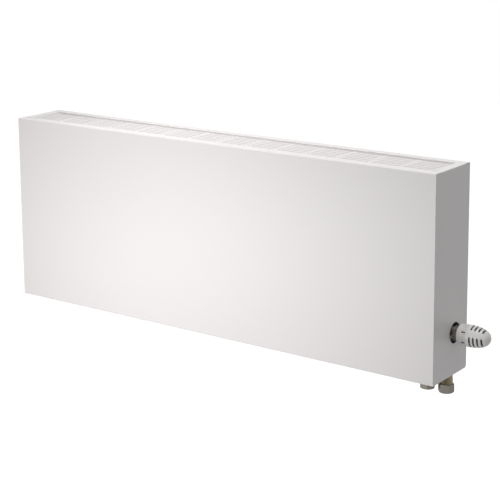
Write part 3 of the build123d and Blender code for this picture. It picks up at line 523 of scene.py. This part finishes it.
# %% Galvanised steel
galvanised = start_finish("galvanised_steel", colour=(0.50, 0.51, 0.53), rough=0.45, metallic=1,
                          drift=(9, 0.08, 0.1), grain=(240, 0.04 * mm))
spangle_scale = 130
spangle_strength = 0.5
spangle_light = (0.72, 0.73, 0.75)
spangle_tree = galvanised["material"].node_tree
spangle = spangle_tree.nodes.new("ShaderNodeTexVoronoi")
spangle.inputs["Scale"].default_value = spangle_scale
spangle_place = spangle_tree.nodes.new("ShaderNodeTexCoord")
spangle_tree.links.new(spangle_place.outputs["Object"], spangle.inputs["Vector"])
spangle_mask = add_math(spangle_tree, "MULTIPLY", spangle.outputs["Color"], spangle_strength)
lay_colour(galvanised, spangle_mask, spangle_light)
lay_dust(galvanised, amount=0.4)
finishes["galvanised_steel"] = galvanised["material"]
print("finish", galvanised["material"].name)

# %% [markdown]
# Screws are bright zinc with a bluish cast, rubbed on their edges.

# %% Bright zinc plate
zinc = start_finish("bright_zinc_plate", colour=(0.60, 0.63, 0.67), rough=0.28, metallic=1,
                    drift=(90, 0.15, 0.15), grain=(900, 0.03 * mm))
wear_edges(zinc, colour=(0.45, 0.44, 0.43), radius=0.5 * mm, gain=4)
finishes["zinc_plate"] = zinc["material"]
print("finish", zinc["material"].name)

# %% [markdown]
# The valve's pin and spring are drawn steel, darker and smoother.

# %% Drawn steel
steel = start_finish("drawn_steel", colour=(0.46, 0.46, 0.47), rough=0.3, metallic=1,
                     drift=(120, 0.12, 0.15), grain=(900, 0.02 * mm), stretch=(1, 6, 6))
finishes["steel"] = steel["material"]
print("finish", steel["material"].name)

# %% [markdown]
# Pads and the valve's washer are black rubber, matt and slightly bloomed grey.

# %% Black rubber
rubber = start_finish("black_rubber", colour=(0.022, 0.022, 0.023), rough=0.72, metallic=0,
                      drift=(70, 0.5, 0.2), grain=(1200, 0.08 * mm))
lay_dust(rubber, amount=0.3)
finishes["black_rubber"] = rubber["material"]
print("finish", rubber["material"].name)

# %% [markdown]
# Seals are pressed from red-brown fibre, whose strands show as short pale streaks.

# %% Pressed fibre
fibre = start_finish("pressed_fibre", colour=(0.20, 0.065, 0.04), rough=0.75, metallic=0,
                     drift=(160, 0.3, 0.2), grain=(900, 0.1 * mm), stretch=(3, 0.5, 1))
fibre_strand = (0.32, 0.16, 0.10)
lay_colour(fibre, fibre["height"], fibre_strand)
finishes["fibre"] = fibre["material"]
print("finish", fibre["material"].name)

# %% [markdown]
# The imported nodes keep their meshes. Each takes the finish of the slot that the record names.

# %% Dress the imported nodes
for name, node in frame["nodes"].items():
    for material_slot in node.material_slots:
        material_slot.material = finishes[slot_of[name]]
print("dressed", len(frame["nodes"]))

# %% [markdown]
# Most details here are rings that are repeated. A profile of a few vertices is spun round the X
# axis once, and copies of that ring are moved to their places. Array modifiers would do it too, but
# a mesh that is already whole is easier to check and to export. The last helper closes the mesh,
# turns its faces outwards and says what the piece rides on.

# %% Piece helpers
def spin_ring(mesh, profile, sides):
    """Spins a closed profile of (x, radius) points round the X axis."""
    corners = [mesh.verts.new((x, 0, radius)) for x, radius in profile]
    edges = [mesh.edges.new((first, second)) for first, second in zip(corners, corners[1:] + corners[:1])]
    bmesh.ops.spin(mesh, geom=corners + edges, cent=(0, 0, 0), axis=(1, 0, 0), angle=2 * math.pi,
                   steps=sides, use_merge=True)


def finish_piece(name, mesh, body, slot):
    """Turns a bmesh into a piece of the radiator that rides on a body and has a slot's finish."""
    bmesh.ops.remove_doubles(mesh, verts=mesh.verts, dist=merge_distance)
    bmesh.ops.recalc_face_normals(mesh, faces=mesh.faces)
    data = bpy.data.meshes.new(name)
    mesh.to_mesh(data)
    mesh.free()
    data.materials.append(finishes[slot])
    piece = bpy.data.objects.new(name, data)
    bpy.context.scene.collection.objects.link(piece)
    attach(piece, body)
    return piece


def add_mesh(mesh, data, matrix):
    """Adds a mesh to a bmesh, moved by a matrix."""
    before = len(mesh.verts)
    mesh.from_mesh(data)
    mesh.verts.ensure_lookup_table()
    bmesh.ops.transform(mesh, matrix=matrix, verts=mesh.verts[before:])


def repeat_ring(profile, sides, places):
    """A bmesh with one spun ring at every place."""
    ring = bmesh.new()
    spin_ring(ring, profile, sides)
    bmesh.ops.remove_doubles(ring, verts=ring.verts, dist=merge_distance)
    first = bpy.data.meshes.new("ring")
    ring.to_mesh(first)
    ring.free()
    mesh = bmesh.new()
    for place in places:
        add_mesh(mesh, first, Matrix.Translation(place))
    bpy.data.meshes.remove(first)
    return mesh


print("piece helpers ready")

# %% [markdown]
# Each fin's tube holes are drawn out into little collars that grip the tubes and space the fins.
# They are thin rings with a flared foot, one at every fin and tube. The rings have few sides,
# because there are hundreds of them.

# %% Fin collars
tube_radius = 7.5 * mm
collar_wall = 0.35 * mm
collar_gap = 0.15 * mm
collar_length = 5.8 * mm
collar_flare = 1.3 * mm
collar_sides = 10
fin_pitch = 8 * mm
fin_sheet = 0.4 * mm

tubes_low, tubes_high = (Vector(corner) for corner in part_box("copper_tubes"))
fins_low, fins_high = (Vector(corner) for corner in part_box("fins"))
tube_columns = [tubes_low.y + tube_radius, (tubes_low.y + tubes_high.y) / 2, tubes_high.y - tube_radius]
tube_rows = [tubes_low.z + tube_radius, tubes_high.z - tube_radius]
tube_centres = [(y, z) for z in tube_rows for y in tube_columns]
fin_count = round((fins_high.x - fins_low.x - fin_sheet) / fin_pitch)
collar_inner = tube_radius + collar_gap
collar_profile = [
    (0, collar_inner),
    (0, collar_inner + collar_flare),
    (collar_flare, collar_inner + collar_wall),
    (collar_length, collar_inner + collar_wall),
    (collar_length, collar_inner),
]
collar_places = [
    (fins_low.x + fin_sheet + i * fin_pitch, y, z) for i in range(fin_count) for y, z in tube_centres
]
collar_rings = repeat_ring(collar_profile, collar_sides, collar_places)
fin_collars = finish_piece("fin_collars", collar_rings, "main", "fin_aluminium")
print("fin collars", len(collar_places), "polygons", len(fin_collars.data.polygons))

# %% [markdown]
# The tubes are brazed into the collectors' sockets, and a bead of filler stands round each joint.
# It is a small ring with a hollow face, spun like the collars but with more sides.

# %% Brazed joints
bead_height = 1.6 * mm
bead_length = 2.2 * mm
bead_sides = 28
bead_face_shares = ((0, 1), (0.3, 0.45), (0.6, 0.15), (1, 0.02))


def bead_profile(side):
    """Profile of a bead that leans against a socket; side is the way from the socket to the tube."""
    face = [(side * along * bead_length, tube_radius + up * bead_height) for along, up in bead_face_shares]
    return [(0, tube_radius), *face, (side * bead_length, tube_radius)]


right_socket_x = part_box("supply_collector")[0][0]
left_socket_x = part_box("turning_collector")[1][0]
beads = repeat_ring(bead_profile(-1), bead_sides, [(right_socket_x, y, z) for y, z in tube_centres])
left_beads = repeat_ring(bead_profile(1), bead_sides, [(left_socket_x, y, z) for y, z in tube_centres])
left_data = bpy.data.meshes.new("left_beads")
left_beads.to_mesh(left_data)
left_beads.free()
beads.from_mesh(left_data)
bpy.data.meshes.remove(left_data)
brazed_joints = finish_piece("brazed_joints", beads, "main", "brass")
brazed_joints.data.shade_smooth()
print("brazed joints", 2 * len(tube_centres))

# %% [markdown]
# Both connections end in a pipe thread, and a few turns of it stand free above each union nut. A
# true helix would need a long sweep; from outside, a stack of ridges looks the same, so one ridge
# is spun and repeated at the thread's pitch. The stack is turned upright with its stub.

# %% Connection threads
thread_pitch = 1.8 * mm
thread_crest = 0.55 * mm
thread_root = 0.1 * mm
thread_turns = 7
thread_gap = 0.6 * mm
thread_sides = 40
stub_radius = 15 * mm
crest_start_share = 0.4
crest_end_share = 0.6
root_end_share = 0.95

thread_profile = [
    (0, stub_radius - thread_root),
    (crest_start_share * thread_pitch, stub_radius + thread_crest),
    (crest_end_share * thread_pitch, stub_radius + thread_crest),
    (root_end_share * thread_pitch, stub_radius - thread_root),
]
thread_places = [(i * thread_pitch, 0, 0) for i in range(thread_turns)]
threads = bmesh.new()
for stub, nut in (("supply_riser", "supply_nut"), ("return_stub", "return_nut")):
    stack = repeat_ring(thread_profile, thread_sides, thread_places)
    stack_data = bpy.data.meshes.new("stack")
    stack.to_mesh(stack_data)
    stack.free()
    stub_low, stub_high = (Vector(corner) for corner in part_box(stub))
    stub_foot = (stub_low + stub_high) / 2
    stub_foot.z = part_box(nut)[1][2] + thread_gap
    add_mesh(threads, stack_data, Matrix.Translation(stub_foot) @ Matrix.Rotation(-math.pi / 2, 4, "Y"))
    bpy.data.meshes.remove(stack_data)
connection_threads = finish_piece("connection_threads", threads, "main", "brass")
print("connection threads", len(connection_threads.data.polygons))

# %% [markdown]
# The hand wheel has a frost mark and the numerals 1 to 5 raised on its back band, a sixth of a turn
# apart, so that each comes to the pointer as the wheel opens. Text gives the shapes; made into a
# mesh, its points are dropped onto the wheel's skin by rays, which bends every mark to the wheel.

# %% Wheel marks
mark_texts = ("*", "1", "2", "3", "4", "5")
mark_step = math.radians(60)
mark_turn = math.radians(54)
mark_size = 8 * mm
mark_rise = 0.5 * mm
mark_sink = 0.4 * mm
mark_offset = 4 * mm

wheel_low, wheel_high = (Vector(corner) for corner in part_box("handwheel"))
collar_low, collar_high = (Vector(corner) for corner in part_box("head_collar"))
wheel_radius = (wheel_high.z - wheel_low.z) / 2
wheel_axis = (wheel_low + wheel_high) / 2
wheel_axis.x = collar_high.x + mark_offset
wheel_skin = bmesh.new()
wheel_skin.from_mesh(frame["nodes"]["handwheel"].data)
wheel_rays = BVHTree.FromBMesh(wheel_skin)
wheel_skin.free()


def text_mesh(text, size):
    """The mesh of a short text, centred, with a front and a back on either side of its plane."""
    curve = bpy.data.curves.new("mark", "FONT")
    curve.body = text
    curve.size = size
    curve.extrude = size
    curve.resolution_u = 3
    curve.align_x = "CENTER"
    curve.align_y = "CENTER"
    writing = bpy.data.objects.new("mark", curve)
    data = bpy.data.meshes.new_from_object(writing)
    bpy.data.objects.remove(writing)
    bpy.data.curves.remove(curve)
    return data


def drop_on_wheel(point, turn):
    """Place of a text point (across, up, front or back) on the wheel, at an angle up from the front."""
    angle = turn - point.x / wheel_radius
    outward = Vector((0, -math.cos(angle), math.sin(angle)))
    start = wheel_axis + Vector((point.y, 0, 0)) + 2 * wheel_radius * outward
    skin = wheel_rays.ray_cast(start, -outward)[0]
    return skin + (mark_rise if point.z > 0 else -mark_sink) * outward


marks = bmesh.new()
for i, text in enumerate(mark_texts):
    mark = bmesh.new()
    mark_data = text_mesh(text, mark_size)
    mark.from_mesh(mark_data)
    bmesh.ops.remove_doubles(mark, verts=mark.verts, dist=merge_distance)
    bmesh.ops.triangulate(mark, faces=mark.faces)
    for vert in mark.verts:
        vert.co = drop_on_wheel(vert.co, mark_turn - i * mark_step)
    mark.to_mesh(mark_data)
    mark.free()
    add_mesh(marks, mark_data, Matrix.Identity(4))
    bpy.data.meshes.remove(mark_data)
wheel_marks = finish_piece("wheel_marks", marks, "handwheel", "white_plastic")
print("wheel marks", len(wheel_marks.data.polygons))

# %% [markdown]
# The collar has a small raised pointer for the marks. A cone with three sides and a flat top is a
# ready pointer; it is laid on the collar with one corner towards the wheel.

# %% Collar pointer
pointer_reach = 1.7 * mm
pointer_height = 1.2 * mm
pointer_rise = 0.45 * mm
pointer_offset = 2.4 * mm
pointer_taper_share = 0.7

pointer = bmesh.new()
bmesh.ops.create_cone(pointer, cap_ends=True, segments=3, radius1=pointer_reach,
                      radius2=pointer_taper_share * pointer_reach, depth=pointer_height)
collar_radius = (collar_high.z - collar_low.z) / 2
pointer_out = Matrix.Translation((0, 0, collar_radius + pointer_rise - pointer_height / 2))
pointer_place = Matrix.Translation((collar_high.x - pointer_offset, wheel_axis.y, wheel_axis.z))
pointer_turn = Matrix.Rotation(math.pi / 2 - mark_turn, 4, "X")
pointer_aim = Matrix.Rotation(-math.pi / 2, 4, "Z")
pointer_seat = pointer_place @ pointer_turn @ pointer_out @ pointer_aim
bmesh.ops.transform(pointer, matrix=pointer_seat, verts=pointer.verts)
collar_pointer = finish_piece("collar_pointer", pointer, "main", "white_plastic")
print("pointer at", tuple(pointer_place.translation))
